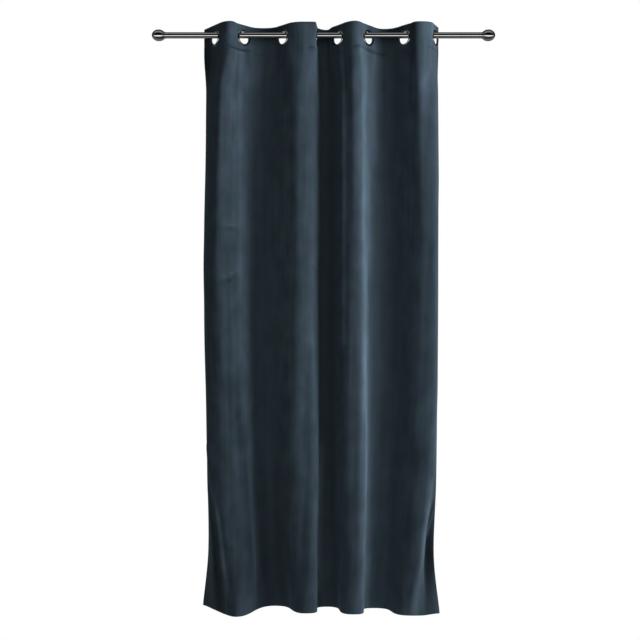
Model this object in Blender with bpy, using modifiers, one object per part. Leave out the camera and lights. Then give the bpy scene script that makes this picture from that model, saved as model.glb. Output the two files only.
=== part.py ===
"""Velvet eyelet drape hanging in four uneven folds from a metal rod with ball finials.

The origin is the middle of the rod, on its axis. +X runs along the rod, the drape's front
faces -Y, and +Z is up. Lengths are in metres.

The drape is one panel of cloth. Seen from above, it runs to and fro across the rod: it comes
forward into a crest, passes back through an eyelet into a valley, and so on to the far side.
Each level of the panel is a smooth curve through a few stations, and the surface is swept
from level to level down to the hem.
"""

import math
from collections import namedtuple

import bmesh
import bpy
import numpy as np

# Rod and finials
ROD_LENGTH = 1.296
ROD_DIAMETER = 0.025
ROD_WALL = 0.001
BALL_DIAMETER = 0.047
BALL_LENGTH = 0.057
COLLAR_LENGTH = 0.004
COLLAR_DIAMETER = 0.0275
SPIGOT_LENGTH = 0.045
FIT_GAP = 0.0003

# Cloth panel
PANEL_WIDTH = 1.40
PANEL_DROP = 2.40
CLOTH = 0.002
TOP_EDGE = 0.042
HEADING_DEPTH = 0.102
SHOULDER = -0.224
WAIST = -1.000
KNEE = -1.820
CALF = -2.130

# Eyelet rings
EYELET_BORE = 0.049
EYELET_OUTER = 0.067
EYELET_CROWN = 0.0033
EYELET_TUBE = 0.0012
EYELET_PAD = 0.0355
PAD_REACH = 0.010
PUNCH_LENGTH = 0.010

# How finely the curves and round shapes are divided
BEND_SAMPLES = 60
CREST_STEPS = 4
FLANK_STEPS = 3
FLANK_SHARE = 0.40
RING_STEPS = 24
TURNED_STEPS = 32
BALL_STEPS = 12
HALVINGS = 30

VELVET = ("velvet", (0.016, 0.026, 0.036), 0.85, 0.0)
NICKEL = ("polished_nickel", (0.42, 0.42, 0.43), 0.18, 1.0)

# A station of the cloth's path, seen from above: its place, the way the cloth runs there in
# degrees (0 along +X, -90 to the front, 90 to the back), and how far the bend reaches to
# each side of it.
Station = namedtuple("Station", "name x y way before after")

# An eyelet's place along the rod, and the way the cloth runs through it.
Eyelet = namedtuple("Eyelet", "name x way")

# A point on an eyelet's domed face: its share of the way in from the rim to the bore, and its
# share of the crown's height.
DomePoint = namedtuple("DomePoint", "inward rise")

DOME = (
    DomePoint(0.00, 0.0),
    DomePoint(0.09, 0.5),
    DomePoint(0.33, 1.0),
    DomePoint(0.72, 0.9),
    DomePoint(1.00, 0.2),
)

EYELETS = (
    Eyelet("eyelet_1", -0.445, -52),
    Eyelet("eyelet_2", -0.327, 45),
    Eyelet("eyelet_3", -0.167, -46),
    Eyelet("eyelet_4", -0.028, 86),
    Eyelet("eyelet_5", 0.059, -50),
    Eyelet("eyelet_6", 0.184, 48),
    Eyelet("eyelet_7", 0.331, -46),
    Eyelet("eyelet_8", 0.458, 64),
)

# The turns of the folds at the heading, between one eyelet and the next.
HEADING_TURNS = (
    Station("left_edge", -0.496, 0.063, -52, 0.010, 0.010),
    Station("front_1", -0.380, -0.053, 0, 0.018, 0.018),
    Station("back_1", -0.248, 0.042, 0, 0.028, 0.028),
    Station("front_2", -0.080, -0.044, 0, 0.026, 0.034),
    Station("back_2", 0.012, 0.067, 0, 0.014, 0.014),
    Station("front_3", 0.125, -0.055, 0, 0.018, 0.018),
    Station("back_3", 0.252, 0.052, 0, 0.022, 0.026),
    Station("front_4", 0.388, -0.048, 0, 0.022, 0.024),
    Station("right_edge", 0.474, 0.070, 82, 0.020, 0.012),
)

SHOULDER_TURNS = (
    Station("left_edge", -0.489, 0.070, -75, 0.030, 0.030),
    Station("front_1", -0.412, -0.055, 0, 0.036, 0.056),
    Station("back_1", -0.242, 0.048, 0, 0.080, 0.048),
    Station("front_2", -0.098, -0.047, 0, 0.050, 0.110),
    Station("back_2", 0.012, 0.067, 0, 0.062, 0.044),
    Station("front_3", 0.119, -0.058, 0, 0.032, 0.076),
    Station("back_3", 0.262, 0.054, 0, 0.124, 0.050),
    Station("front_4", 0.388, -0.051, 0, 0.034, 0.070),
    Station("right_edge", 0.479, 0.072, 84, 0.050, 0.030),
)

WAIST_TURNS = (
    Station("left_edge", -0.498, 0.066, -88, 0.040, 0.044),
    Station("front_1", -0.422, -0.056, 0, 0.050, 0.120),
    Station("back_1", -0.260, 0.048, 0, 0.070, 0.062),
    Station("front_2", -0.098, -0.045, 0, 0.048, 0.114),
    Station("back_2", 0.012, 0.063, 0, 0.070, 0.050),
    Station("front_3", 0.117, -0.056, 0, 0.052, 0.100),
    Station("back_3", 0.268, 0.051, 0, 0.150, 0.052),
    Station("front_4", 0.408, -0.051, 0, 0.076, 0.056),
    Station("right_edge", 0.478, 0.066, 88, 0.040, 0.040),
)

KNEE_TURNS = (
    Station("left_edge", -0.483, 0.070, -84, 0.040, 0.050),
    Station("front_1", -0.366, -0.054, 0, 0.110, 0.076),
    Station("back_1", -0.238, 0.055, 0, 0.060, 0.058),
    Station("front_2", -0.090, -0.044, 0, 0.076, 0.114),
    Station("back_2", 0.013, 0.060, 0, 0.074, 0.054),
    Station("front_3", 0.121, -0.053, 0, 0.070, 0.100),
    Station("back_3", 0.256, 0.048, 0, 0.140, 0.058),
    Station("front_4", 0.396, -0.059, 0, 0.084, 0.060),
    Station("right_edge", 0.466, 0.030, 60, 0.040, 0.040),
)

CALF_TURNS = (
    Station("left_edge", -0.481, 0.073, -66, 0.040, 0.050),
    Station("front_1", -0.340, -0.063, 0, 0.110, 0.064),
    Station("back_1", -0.222, 0.062, 0, 0.060, 0.060),
    Station("front_2", -0.066, -0.041, 0, 0.090, 0.070),
    Station("back_2", 0.013, 0.057, 0, 0.072, 0.054),
    Station("front_3", 0.125, -0.051, 0, 0.056, 0.086),
    Station("back_3", 0.236, 0.042, 0, 0.116, 0.066),
    Station("front_4", 0.377, -0.064, 0, 0.074, 0.050),
    Station("right_edge", 0.451, -0.005, -24, 0.060, 0.030),
)

HEM_TURNS = (
    Station("left_edge", -0.503, 0.076, -38, 0.030, 0.044),
    Station("front_1", -0.352, -0.080, 0, 0.036, 0.060),
    Station("back_1", -0.204, 0.065, 0, 0.076, 0.082),
    Station("front_2", -0.076, -0.037, 0, 0.062, 0.090),
    Station("back_2", 0.014, 0.052, 0, 0.082, 0.074),
    Station("front_3", 0.120, -0.049, 0, 0.076, 0.078),
    Station("back_3", 0.206, 0.034, 0, 0.080, 0.096),
    Station("front_4", 0.361, -0.065, 0, 0.108, 0.058),
    Station("right_edge", 0.471, -0.035, 14, 0.052, 0.030),
)


def clear_scene():
    for item in list(bpy.data.objects):
        bpy.data.objects.remove(item, do_unlink=True)


def new_collection(name):
    collection = bpy.data.collections.new(name)
    bpy.context.scene.collection.children.link(collection)
    return collection


def material(name, colour, roughness, metallic):
    made = bpy.data.materials.new(name)
    made.use_nodes = True
    shader = made.node_tree.nodes["Principled BSDF"]
    shader.inputs["Base Color"].default_value = (*colour, 1.0)
    shader.inputs["Roughness"].default_value = roughness
    shader.inputs["Metallic"].default_value = metallic
    return made


def add_object(name, mesh, collection, finish=None):
    item = bpy.data.objects.new(name, mesh)
    collection.objects.link(item)
    if finish is not None:
        mesh.materials.append(finish)
    return item


def heading_of(degrees):
    """Unit vector, seen from above, of cloth that runs this way."""
    angle = math.radians(degrees)
    return np.array([math.cos(angle), math.sin(angle)])


def bend(start, end):
    """Points of the smooth bend that leaves one station and arrives at the next."""
    first = np.array([start.x, start.y])
    last = np.array([end.x, end.y])
    leave = first + start.after * heading_of(start.way)
    arrive = last - end.before * heading_of(end.way)
    t = np.linspace(0.0, 1.0, BEND_SAMPLES)[:, None]
    s = 1.0 - t
    return s**3 * first + 3 * s * s * t * leave + 3 * s * t * t * arrive + t**3 * last


def along(points, shares):
    """Points at the given shares of a path's length."""
    steps = np.linalg.norm(np.diff(points, axis=0), axis=1)
    run = np.concatenate([[0.0], np.cumsum(steps)]) / steps.sum()
    return np.column_stack([np.interp(shares, run, points[:, axis]) for axis in (0, 1)])


def pad_stations(eyelet):
    """The two ends of the flat piece of cloth that an eyelet ring clamps."""
    step = EYELET_PAD * heading_of(eyelet.way)
    return [
        Station(eyelet.name, eyelet.x + side * step[0], side * step[1], eyelet.way,
                PAD_REACH, PAD_REACH)
        for side in (-1, 1)
    ]


def heading_level(turns):
    """The cloth's path at the heading: flat at each eyelet, and turning in between."""
    crest = np.linspace(0.0, 1.0, CREST_STEPS + 1)
    flank = np.linspace(0.0, 1.0, FLANK_STEPS + 1)
    path = [[turns[0].x, turns[0].y]]
    for before, eyelet, after in zip(turns, EYELETS, turns[1:]):
        near, far = pad_stations(eyelet)
        path.extend(along(bend(before, near), crest)[1:])
        pad = np.array([[near.x, near.y], [far.x, far.y]])
        path.extend(along(pad, flank)[1:])
        path.extend(along(bend(far, after), crest)[1:])
    return np.array(path)


def lower_level(turns):
    """The cloth's path at a level below the heading, divided as the heading is."""
    side = (1.0 - FLANK_SHARE) / 2
    shares = np.concatenate([
        np.linspace(0.0, side, CREST_STEPS + 1)[1:],
        np.linspace(side, 1.0 - side, FLANK_STEPS + 1)[1:],
        np.linspace(1.0 - side, 1.0, CREST_STEPS + 1)[1:],
    ])
    path = [[turns[0].x, turns[0].y]]
    for before, after in zip(turns, turns[1:]):
        path.extend(along(bend(before, after), shares))
    return np.array(path)


def cut_to_width(level, turns):
    """A level's path, with its bends made as full as the panel's width needs."""
    least, most = 0.5, 2.0
    for _ in range(HALVINGS):
        fullness = (least + most) / 2
        path = level([
            turn._replace(before=fullness * turn.before, after=fullness * turn.after)
            for turn in turns
        ])
        if np.linalg.norm(np.diff(path, axis=0), axis=1).sum() < PANEL_WIDTH:
            least = fullness
        else:
            most = fullness
    return path


def levels():
    """Height and path of each level, from the top edge to the hem."""
    heading = cut_to_width(heading_level, HEADING_TURNS)
    return [
        (TOP_EDGE, heading),
        (TOP_EDGE - HEADING_DEPTH, heading),
        (SHOULDER, cut_to_width(lower_level, SHOULDER_TURNS)),
        (WAIST, cut_to_width(lower_level, WAIST_TURNS)),
        (KNEE, cut_to_width(lower_level, KNEE_TURNS)),
        (CALF, cut_to_width(lower_level, CALF_TURNS)),
        (TOP_EDGE - PANEL_DROP, cut_to_width(lower_level, HEM_TURNS)),
    ]


def row_heights():
    """Heights of the panel's rows of vertices: close together below the heading, then even."""
    bottom = TOP_EDGE - HEADING_DEPTH
    hem = TOP_EDGE - PANEL_DROP
    return np.concatenate([
        [TOP_EDGE],
        np.linspace(bottom, SHOULDER, 4),
        np.linspace(SHOULDER, WAIST, 6)[1:],
        np.linspace(WAIST, KNEE, 6)[1:],
        np.linspace(KNEE, CALF, 3)[1:],
        np.linspace(CALF, hem, 4)[1:],
    ])


def swept_rows():
    """The panel's path at every row, blended smoothly from level to level."""
    heights = np.array([height for height, path in levels()])
    paths = np.array([path for height, path in levels()])
    slopes = np.zeros_like(paths)
    for i in range(2, len(heights)):
        low = min(i + 1, len(heights) - 1)
        slopes[i] = (paths[low] - paths[i - 1]) / (heights[low] - heights[i - 1])
    rows = []
    for z in row_heights():
        i = min(int(np.searchsorted(-heights, -z, side="right")), len(heights) - 1)
        span = heights[i] - heights[i - 1]
        t = (z - heights[i - 1]) / span
        rise = t * t * (3 - 2 * t)
        rows.append(
            (1 - rise) * paths[i - 1]
            + rise * paths[i]
            + span * t * (1 - t) ** 2 * slopes[i - 1]
            - span * t * t * (1 - t) * slopes[i]
        )
    return np.array(rows)


def ring_profile():
    """Half the section of an eyelet ring as (radius, distance from the cloth's middle)."""
    bore = EYELET_BORE / 2
    outer = EYELET_OUTER / 2
    slot = CLOTH / 2 + FIT_GAP
    face = [
        (outer + point.inward * (bore - outer), slot + point.rise * EYELET_CROWN)
        for point in DOME
    ]
    return [(bore + EYELET_TUBE, slot)] + face


def hang_drop(way):
    """How far an eyelet's centre hangs below the rod's axis, with its bore resting on the rod."""
    tilt = math.radians(90 - abs(way))
    reach = ROD_DIAMETER / 2 + FIT_GAP
    angles = np.radians(np.arange(0.0, 360.0, 0.5))
    low, high = 0.0, EYELET_BORE / 2
    for _ in range(HALVINGS):
        drop = (low + high) / 2
        clear = True
        for radius, offset in ring_profile():
            facet = radius * math.cos(math.pi / RING_STEPS)
            for side in (-offset, offset):
                y = facet * np.cos(angles) * math.cos(tilt) + side * math.sin(tilt)
                z = facet * np.sin(angles) - drop
                clear = clear and np.hypot(y, z).min() > reach
        low, high = (drop, high) if clear else (low, drop)
    return low


def turned(name, profile, steps, collection, finish, closed=False):
    """A turned solid: the profile of (radius, height) points, top to bottom, about Z."""
    mesh = bpy.data.meshes.new(name)
    edges = [(i, i + 1) for i in range(len(profile) - 1)]
    if closed:
        edges.append((len(profile) - 1, 0))
    mesh.from_pydata([(radius, 0.0, height) for radius, height in profile], edges, [])
    item = add_object(name, mesh, collection, finish)
    screw = item.modifiers.new("turn", "SCREW")
    screw.steps = steps
    screw.render_steps = steps
    screw.use_merge_vertices = True
    screw.merge_threshold = 0.00001
    screw.use_smooth_shade = True
    return item


def build_rod(collection, finish):
    """The rod: a plain round tube, open at both ends."""
    outer = ROD_DIAMETER / 2
    inner = outer - ROD_WALL
    half = ROD_LENGTH / 2
    profile = [(outer, half), (outer, -half), (inner, -half), (inner, half)]
    rod = turned("rod", profile, TURNED_STEPS, collection, finish, closed=True)
    rod.rotation_euler = (0.0, math.pi / 2, 0.0)
    return rod


def build_finial(side, name, collection, finish):
    """A slightly long ball on a collar, with a spigot that plugs the end of the rod."""
    ball = BALL_DIAMETER / 2
    reach = BALL_LENGTH / 2
    collar = COLLAR_DIAMETER / 2
    spigot = ROD_DIAMETER / 2 - ROD_WALL - FIT_GAP
    base = ROD_LENGTH / 2 + FIT_GAP
    seat = base + COLLAR_LENGTH
    centre = seat + reach * math.sqrt(1.0 - (collar / ball) ** 2)
    sweep = math.pi - math.asin(collar / ball)
    profile = []
    for step in range(BALL_STEPS + 1):
        angle = sweep * step / BALL_STEPS
        profile.append((ball * math.sin(angle), centre + reach * math.cos(angle)))
    profile += [
        (collar, base),
        (spigot, base),
        (spigot, base - SPIGOT_LENGTH),
        (0.0, base - SPIGOT_LENGTH),
    ]
    finial = turned(name, profile, TURNED_STEPS, collection, finish)
    finial.rotation_euler = (0.0, side * math.pi / 2, 0.0)
    return finial


def build_eyelet(eyelet, collection, finish):
    """A ring of two domed flanges joined by a tube, clamping the edge of its hole."""
    front = ring_profile()
    back = [(radius, -offset) for radius, offset in front]
    profile = back + front[::-1]
    ring = turned(eyelet.name, profile, RING_STEPS, collection, finish, closed=True)
    ring.location = (eyelet.x, 0.0, -hang_drop(eyelet.way))
    ring.rotation_euler = (math.pi / 2, 0.0, math.radians(eyelet.way))
    return ring


def build_punch(eyelet, cutters):
    """The round cutter for an eyelet's hole in the cloth."""
    mesh = bpy.data.meshes.new("punch_" + eyelet.name)
    shape = bmesh.new()
    radius = (EYELET_BORE / 2 + EYELET_TUBE + FIT_GAP) / math.cos(math.pi / RING_STEPS)
    bmesh.ops.create_cone(shape, cap_ends=True, segments=RING_STEPS, radius1=radius,
                          radius2=radius, depth=PUNCH_LENGTH)
    shape.to_mesh(mesh)
    shape.free()
    punch = add_object(mesh.name, mesh, cutters)
    punch.location = (eyelet.x, 0.0, -hang_drop(eyelet.way))
    punch.rotation_euler = (math.pi / 2, 0.0, math.radians(eyelet.way))
    punch.hide_render = True
    punch.display_type = "WIRE"
    return punch


def build_drape(collection, cutters, finish):
    """The panel: a grid laid on the swept rows, thickened, with a hole for each eyelet."""
    rows = swept_rows()
    heights = row_heights()
    columns = rows.shape[1] - 1
    bands = rows.shape[0] - 1
    mesh = bpy.data.meshes.new("drape")
    shape = bmesh.new()
    bmesh.ops.create_grid(shape, x_segments=columns, y_segments=bands, size=0.5)
    for vertex in shape.verts:
        column = round((vertex.co.x + 0.5) * columns)
        row = round((0.5 - vertex.co.y) * bands)
        vertex.co = (*rows[row, column], heights[row])
    shape.to_mesh(mesh)
    shape.free()
    drape = add_object("drape", mesh, collection, finish)
    solidify = drape.modifiers.new("cloth", "SOLIDIFY")
    solidify.thickness = CLOTH
    solidify.offset = 0.0
    solidify.use_even_offset = True
    for eyelet in EYELETS:
        hole = drape.modifiers.new("hole_" + eyelet.name, "BOOLEAN")
        hole.operation = "DIFFERENCE"
        hole.solver = "EXACT"
        hole.object = build_punch(eyelet, cutters)
    return drape


def build():
    clear_scene()
    parts = new_collection("velvet_eyelet_drape")
    cutters = new_collection("cutters")
    velvet = material(*VELVET)
    nickel = material(*NICKEL)
    build_rod(parts, nickel)
    build_finial(-1, "finial_left", parts, nickel)
    build_finial(1, "finial_right", parts, nickel)
    for eyelet in EYELETS:
        build_eyelet(eyelet, parts, nickel)
    build_drape(parts, cutters, velvet)


build()
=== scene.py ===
"""The looks of a velvet eyelet drape that hangs from a metal rod with ball finials.

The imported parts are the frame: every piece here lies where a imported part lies. Lengths are in
metres. The origin is the middle of the rod, +X runs along it, the drape's front faces -Y and
+Z is up.

The drape is one closed sheet. Seen from above, its path runs to and fro across the rod from
one fold's turn to the next, and at each height the path is a blend of a few drawn levels. The
sheet's grid follows the cloth's own threads: a column keeps its distance from the side edge
all the way down, so hems, seams and creases are placed in the cloth's own sizes.
"""

import math
from collections import namedtuple

import bmesh
import bpy
import numpy as np
from bpy.props import FloatProperty, FloatVectorProperty, PointerProperty
from bpy.types import Operator, Panel, PropertyGroup
from mathutils import Matrix, Vector


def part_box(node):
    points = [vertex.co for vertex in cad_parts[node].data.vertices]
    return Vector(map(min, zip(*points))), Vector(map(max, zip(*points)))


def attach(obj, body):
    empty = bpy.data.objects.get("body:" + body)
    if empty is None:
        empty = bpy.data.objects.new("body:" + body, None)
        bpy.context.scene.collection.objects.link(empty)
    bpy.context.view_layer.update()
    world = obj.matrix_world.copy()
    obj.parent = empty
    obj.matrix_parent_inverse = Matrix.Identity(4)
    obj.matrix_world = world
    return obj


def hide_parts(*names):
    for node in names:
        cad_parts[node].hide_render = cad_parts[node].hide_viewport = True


bl_info = {
    "name": "Velvet eyelet drape",
    "version": (1, 0, 0),
    "blender": (4, 5, 0),
    "location": "3D View > Sidebar > Drape",
    "description": "Dresses a velvet drape, its eyelets and its rod, and sets a plain studio",
    "category": "Object",
}

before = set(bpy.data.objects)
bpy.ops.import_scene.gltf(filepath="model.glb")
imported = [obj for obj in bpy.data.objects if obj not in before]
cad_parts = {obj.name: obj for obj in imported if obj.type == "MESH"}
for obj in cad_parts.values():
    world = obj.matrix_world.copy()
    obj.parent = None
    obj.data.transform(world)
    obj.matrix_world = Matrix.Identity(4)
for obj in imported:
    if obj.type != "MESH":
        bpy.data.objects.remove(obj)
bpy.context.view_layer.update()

BODY = "root"
ROD_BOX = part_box("rod")
BALL_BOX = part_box("finial_right")
DRAPE_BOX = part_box("drape")

# How finely the cloth and the turned pieces are divided. Between two turns, the cloth's flank
# takes FLANK_SHARE of the length.
BEND_SAMPLES = 60
CREST_STEPS = 24
FLANK_STEPS = 18
FLANK_SHARE = 0.40
COLUMN_SPACING = 0.0060
ROW_SPACING = 0.0132
HEADING_SPACING = 0.0062
SEAM_OFFSETS = (-0.0030, -0.0012, 0.0, 0.0012, 0.0030)
TURNED_STEPS = 96
BALL_RINGS = 48
RING_STEPS = 64
STITCH_STEPS = 6

# Halvings of the range in which a level's fullness is sought
HALVINGS = 30

WHITE = (1.0, 1.0, 1.0, 1.0)

# Heights of the drape's drawn levels
TOP_EDGE = 0.042
SHOULDER = -0.224
WAIST = -1.000
KNEE = -1.820
CALF = -2.130

# The flat cloth at an eyelet: half its length, and how far the bends beside it reach
EYELET_PAD = 0.0355
PAD_REACH = 0.010

# Outside a ring the cloth's unevenness comes back over this length, after this share of it
RELIEF_FADE = 0.012
RELIEF_DELAY = 0.15

# The groove of the heading's seam, and the puckers that its thread draws up. They drift along
# the seam, and longer ones are mixed in, so they are uneven.
GROOVE_DEPTH = 0.0007
GROOVE_REACH = 0.0022
PUCKER_HEIGHT = 0.00045
PUCKER_LENGTH = 0.031
PUCKER_DRIFT = 1.3
PUCKER_DRIFT_LENGTH = 0.21
LONG_PUCKER_SHARE = 0.7
LONG_PUCKER_LENGTH = 0.053
LONG_PUCKER_PHASE = 2.0
PUCKER_REACH_ABOVE = 0.012
PUCKER_REACH_BELOW = 0.020

# How unevenly the slow waves run
WAVE_DRIFT = 0.8
WAVE_DRIFT_RATE = 0.37

# How a stroke starts and ends, and the darkest that the painted shade of strokes together
# makes the pile
STROKE_END = 0.12
STROKE_FADE = 0.7
DARKEST_PAINTED_SHADE = -0.95

# How far the sheet's rounded edge stands out, as a share of half its thickness
EDGE_ROUND = 0.8

# Distance of a seam from the edge of its hem, and of a seam's end from the side of the cloth
SEAM_INSET = 0.0016
SEAM_END = 0.006

# A stitch's ends, further than this share of its length from its middle, dip by this share of
# the thread's thickness.
STITCH_END = 0.3
STITCH_DIP = 0.7

# Roundings of the metal's edges
RIM_ROUND = 0.0008
ROD_ROUND = 0.0003
COLLAR_ROUND = 0.0006
ROUND_STEPS = 3

# How near counts as on a plane or a circle, how near vertices are merged, and how far the sheet
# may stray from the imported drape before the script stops
NEAR = 1e-4
MERGED = 0.00002
MOST_STRAY = 0.012

# A station of the cloth's path, seen from above: its place, the way the cloth runs there in
# degrees (0 along +X, -90 to the front, 90 to the back), and how far the bend reaches to
# each side of it.
Station = namedtuple("Station", "name x y way before after")

# An eyelet's place along the rod, and the way the cloth runs through it.
Eyelet = namedtuple("Eyelet", "name x way")

# A point on an eyelet's domed face: its share of the way in from the rim to the bore, and its
# share of the crown's height.
DomePoint = namedtuple("DomePoint", "inward rise")

# A crease in the cloth: the points it passes, as distances from the left edge and down from
# the top edge, how far its flanks reach, and its height (below zero for a trough).
Crease = namedtuple("Crease", "name route reach height")

# A slow wave in the cloth's surface: its height, its length across and down, and its phase.
Wave = namedtuple("Wave", "height across down phase")

# A stroke of light or shade painted into the pile's colour, where the folds, creases and seams
# catch or lose the light: the points it passes, how far it reaches, and how much paler it looks
# (below zero for darker, a painted shade).
PaintedShading = namedtuple("PaintedShading", "name route reach tone")

# An area light: how far it stands to the right of the front and how high it is raised, as
# angles, its distance from the drape's middle, its width and height, and its tone.
Light = namedtuple("Light", "name aside raised distance width height tone")

EYELETS = (
    Eyelet("eyelet_1", -0.445, -52),
    Eyelet("eyelet_2", -0.327, 45),
    Eyelet("eyelet_3", -0.167, -46),
    Eyelet("eyelet_4", -0.028, 86),
    Eyelet("eyelet_5", 0.059, -50),
    Eyelet("eyelet_6", 0.184, 48),
    Eyelet("eyelet_7", 0.331, -46),
    Eyelet("eyelet_8", 0.458, 64),
)

DOME = (
    DomePoint(0.00, 0.0),
    DomePoint(0.09, 0.5),
    DomePoint(0.33, 1.0),
    DomePoint(0.72, 0.9),
    DomePoint(1.00, 0.2),
)

HEADING_TURNS = (
    Station("left_edge", -0.496, 0.063, -52, 0.010, 0.010),
    Station("front_1", -0.380, -0.053, 0, 0.018, 0.018),
    Station("back_1", -0.248, 0.042, 0, 0.028, 0.028),
    Station("front_2", -0.080, -0.044, 0, 0.026, 0.034),
    Station("back_2", 0.012, 0.067, 0, 0.014, 0.014),
    Station("front_3", 0.125, -0.055, 0, 0.018, 0.018),
    Station("back_3", 0.252, 0.052, 0, 0.022, 0.026),
    Station("front_4", 0.388, -0.048, 0, 0.022, 0.024),
    Station("right_edge", 0.474, 0.070, 82, 0.020, 0.012),
)

SHOULDER_TURNS = (
    Station("left_edge", -0.489, 0.070, -75, 0.030, 0.030),
    Station("front_1", -0.412, -0.055, 0, 0.036, 0.056),
    Station("back_1", -0.242, 0.048, 0, 0.080, 0.048),
    Station("front_2", -0.098, -0.047, 0, 0.050, 0.110),
    Station("back_2", 0.012, 0.067, 0, 0.062, 0.044),
    Station("front_3", 0.119, -0.058, 0, 0.032, 0.076),
    Station("back_3", 0.262, 0.054, 0, 0.124, 0.050),
    Station("front_4", 0.388, -0.051, 0, 0.034, 0.070),
    Station("right_edge", 0.479, 0.072, 84, 0.050, 0.030),
)

WAIST_TURNS = (
    Station("left_edge", -0.498, 0.066, -88, 0.040, 0.044),
    Station("front_1", -0.422, -0.056, 0, 0.050, 0.120),
    Station("back_1", -0.260, 0.048, 0, 0.070, 0.062),
    Station("front_2", -0.098, -0.045, 0, 0.048, 0.114),
    Station("back_2", 0.012, 0.063, 0, 0.070, 0.050),
    Station("front_3", 0.117, -0.056, 0, 0.052, 0.100),
    Station("back_3", 0.268, 0.051, 0, 0.150, 0.052),
    Station("front_4", 0.408, -0.051, 0, 0.076, 0.056),
    Station("right_edge", 0.478, 0.066, 88, 0.040, 0.040),
)

KNEE_TURNS = (
    Station("left_edge", -0.483, 0.070, -84, 0.040, 0.050),
    Station("front_1", -0.366, -0.054, 0, 0.110, 0.076),
    Station("back_1", -0.238, 0.055, 0, 0.060, 0.058),
    Station("front_2", -0.090, -0.044, 0, 0.076, 0.114),
    Station("back_2", 0.013, 0.060, 0, 0.074, 0.054),
    Station("front_3", 0.121, -0.053, 0, 0.070, 0.100),
    Station("back_3", 0.256, 0.048, 0, 0.140, 0.058),
    Station("front_4", 0.396, -0.059, 0, 0.084, 0.060),
    Station("right_edge", 0.466, 0.030, 60, 0.040, 0.040),
)

CALF_TURNS = (
    Station("left_edge", -0.481, 0.073, -66, 0.040, 0.050),
    Station("front_1", -0.340, -0.063, 0, 0.110, 0.064),
    Station("back_1", -0.222, 0.062, 0, 0.060, 0.060),
    Station("front_2", -0.066, -0.041, 0, 0.090, 0.070),
    Station("back_2", 0.013, 0.057, 0, 0.072, 0.054),
    Station("front_3", 0.125, -0.051, 0, 0.056, 0.086),
    Station("back_3", 0.236, 0.042, 0, 0.116, 0.066),
    Station("front_4", 0.377, -0.064, 0, 0.074, 0.050),
    Station("right_edge", 0.451, -0.005, -24, 0.060, 0.030),
)

HEM_TURNS = (
    Station("left_edge", -0.503, 0.076, -38, 0.030, 0.044),
    Station("front_1", -0.352, -0.080, 0, 0.036, 0.060),
    Station("back_1", -0.204, 0.065, 0, 0.076, 0.082),
    Station("front_2", -0.076, -0.037, 0, 0.062, 0.090),
    Station("back_2", 0.014, 0.052, 0, 0.082, 0.074),
    Station("front_3", 0.120, -0.049, 0, 0.076, 0.078),
    Station("back_3", 0.206, 0.034, 0, 0.080, 0.096),
    Station("front_4", 0.361, -0.065, 0, 0.108, 0.058),
    Station("right_edge", 0.471, -0.035, 14, 0.052, 0.030),
)

CREASES = (
    Crease("fold_1_first_ridge", ((0.190, 0.12), (0.197, 0.45), (0.205, 1.05), (0.193, 1.80)),
           0.011, 0.0020),
    Crease("fold_1_dip", ((0.214, 0.14), (0.222, 0.50), (0.230, 1.05), (0.218, 1.75)),
           0.009, -0.0014),
    Crease("fold_1_second_ridge", ((0.234, 0.12), (0.250, 0.50), (0.256, 0.92), (0.246, 1.33),
                                   (0.243, 1.80)), 0.011, 0.0034),
    Crease("fold_1_lower_ridge", ((0.250, 1.70), (0.267, 1.94), (0.290, 2.19), (0.326, 2.38)),
           0.014, 0.0024),
    Crease("left_fold", ((0.043, 1.73), (0.098, 1.87), (0.122, 2.02), (0.139, 2.18),
                         (0.157, 2.27), (0.184, 2.38)), 0.011, 0.0042),
    Crease("left_fold_trough", ((0.130, 1.90), (0.148, 2.06), (0.163, 2.18), (0.184, 2.28),
                                (0.206, 2.37)), 0.010, -0.0018),
    Crease("fold_2_hem_ridge", ((0.512, 1.98), (0.526, 2.16), (0.545, 2.36)), 0.016, 0.0022),
    Crease("fold_3_left_ridge", ((0.818, 0.20), (0.824, 0.72), (0.835, 1.13), (0.843, 1.53),
                                 (0.862, 1.96)), 0.010, 0.0020),
    Crease("fold_3_groove", ((0.863, 0.20), (0.866, 0.72), (0.871, 1.13), (0.877, 1.53),
                             (0.893, 1.96)), 0.008, -0.0014),
    Crease("fold_3_crest", ((0.903, 0.12), (0.908, 0.72), (0.908, 1.25), (0.914, 1.60),
                            (0.930, 2.00), (0.950, 2.34)), 0.013, 0.0034),
    Crease("flare_ridge", ((1.297, 1.66), (1.300, 1.88), (1.303, 2.02), (1.294, 2.18),
                           (1.285, 2.28), (1.277, 2.38)), 0.010, 0.0050),
    Crease("flare_trough", ((1.372, 1.98), (1.358, 2.09), (1.350, 2.20), (1.346, 2.38)),
           0.017, -0.0050),
    Crease("seam_pucker_1", ((0.163, 0.099), (0.188, 0.106), (0.230, 0.105), (0.272, 0.100)),
           0.006, -0.0016),
    Crease("seam_pucker_2", ((0.884, 0.101), (0.930, 0.098), (0.965, 0.104), (1.060, 0.106)),
           0.006, -0.0016),
    Crease("waist_nick_1", ((0.156, 1.040), (0.194, 1.028), (0.233, 1.005)), 0.007, -0.0012),
    Crease("waist_nick_2", ((0.582, 1.002), (0.621, 0.992)), 0.006, -0.0010),
    Crease("waist_nick_3", ((0.892, 1.060), (0.930, 1.070)), 0.006, -0.0009),
    Crease("fold_3_nick", ((0.914, 1.370), (0.934, 1.430)), 0.006, -0.0010),
    Crease("fold_1_scratch", ((0.196, 1.310), (0.202, 1.430)), 0.005, -0.0009),
    Crease("fold_1_low_nick", ((0.130, 2.130), (0.178, 2.134), (0.227, 2.124)), 0.006, -0.0009),
    Crease("nick_on_fold_2", ((0.580, 0.200), (0.592, 0.215)), 0.006, -0.0010),
)

# Light and shade painted into the pile's colour, stroke by stroke: pale strokes are painted
# highlights along crests, ridges and creases, dark ones painted shade in valleys, behind folds,
# along seams and towards the hem.
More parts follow.
